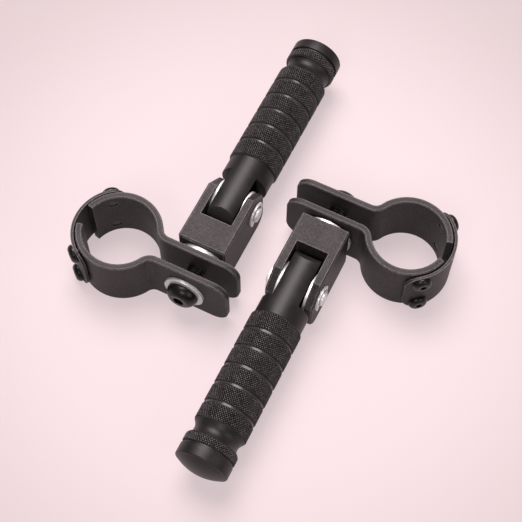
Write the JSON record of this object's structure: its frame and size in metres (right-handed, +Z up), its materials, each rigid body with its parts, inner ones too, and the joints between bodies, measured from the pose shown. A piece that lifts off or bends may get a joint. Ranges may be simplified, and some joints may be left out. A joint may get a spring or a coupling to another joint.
{
  "type": "pair of folding foot pegs",
  "caption": "Folding motorbike foot pegs with knurled grips, each on a pinned clevis that swivels on the bolt of a hinged split clamp for a round engine guard bar.",
  "frame": {"origin": "middle of the pair in plan, on the floor that both clamps lie on with their edges", "axes": "+Z up, along the bars that the clamps grip; +Y along the left peg from its clevis to its cap, the right peg points along -Y; +X from the left assembly to the right one"},
  "size_m": [0.1826, 0.2468, 0.0344],
  "materials": {
    "coated_steel": "satin black powder coat",
    "peg_steel": "satin black coat over knurled steel",
    "black_fasteners": "black oxide",
    "bright_steel": "bright zinc plate"
  },
  "bodies": {
    "clamps": {"left_clevis_side_strap": "coated_steel", "left_head_side_strap": "coated_steel", "left_hinge_band": "coated_steel", "left_band_screws": "black_fasteners", "right_clevis_side_strap": "coated_steel", "right_head_side_strap": "coated_steel", "right_hinge_band": "coated_steel", "right_band_screws": "black_fasteners"},
    "left_clevis_unit": {"left_clamp_bolt": "black_fasteners", "left_head_washer": "bright_steel", "left_lock_washer": "black_fasteners", "left_spacer_washer": "bright_steel", "left_clevis": "coated_steel", "left_hinge_pin": "bright_steel", "left_pin_clips": "bright_steel", "left_thrust_washers": "bright_steel"},
    "left_peg_unit": {"left_foot_peg": "peg_steel"},
    "right_clevis_unit": {"right_clamp_bolt": "black_fasteners", "right_head_washer": "bright_steel", "right_lock_washer": "black_fasteners", "right_spacer_washer": "bright_steel", "right_clevis": "coated_steel", "right_hinge_pin": "bright_steel", "right_pin_clips": "bright_steel", "right_thrust_washers": "bright_steel"},
    "right_peg_unit": {"right_foot_peg": "peg_steel"}
  },
  "joints": [
    {"name": "left_swivel", "type": "hinge", "parent": "clamps", "child": "left_clevis_unit", "pos_m": [-0.0255, -0.0314, 0.017], "axis": [0, 1, 0], "range_deg": [-215, 35]},
    {"name": "left_fold", "type": "hinge", "parent": "left_clevis_unit", "child": "left_peg_unit", "pos_m": [-0.0255, 0.0142, 0.0204], "axis": [1, 0, 0], "range_deg": [0, 90]},
    {"name": "right_swivel", "type": "hinge", "parent": "clamps", "child": "right_clevis_unit", "pos_m": [0.0255, 0.0314, 0.017], "axis": [0, -1, 0], "range_deg": [-215, 35]},
    {"name": "right_fold", "type": "hinge", "parent": "right_clevis_unit", "child": "right_peg_unit", "pos_m": [0.0255, -0.0142, 0.0204], "axis": [-1, 0, 0], "range_deg": [0, 90]}
  ]
}
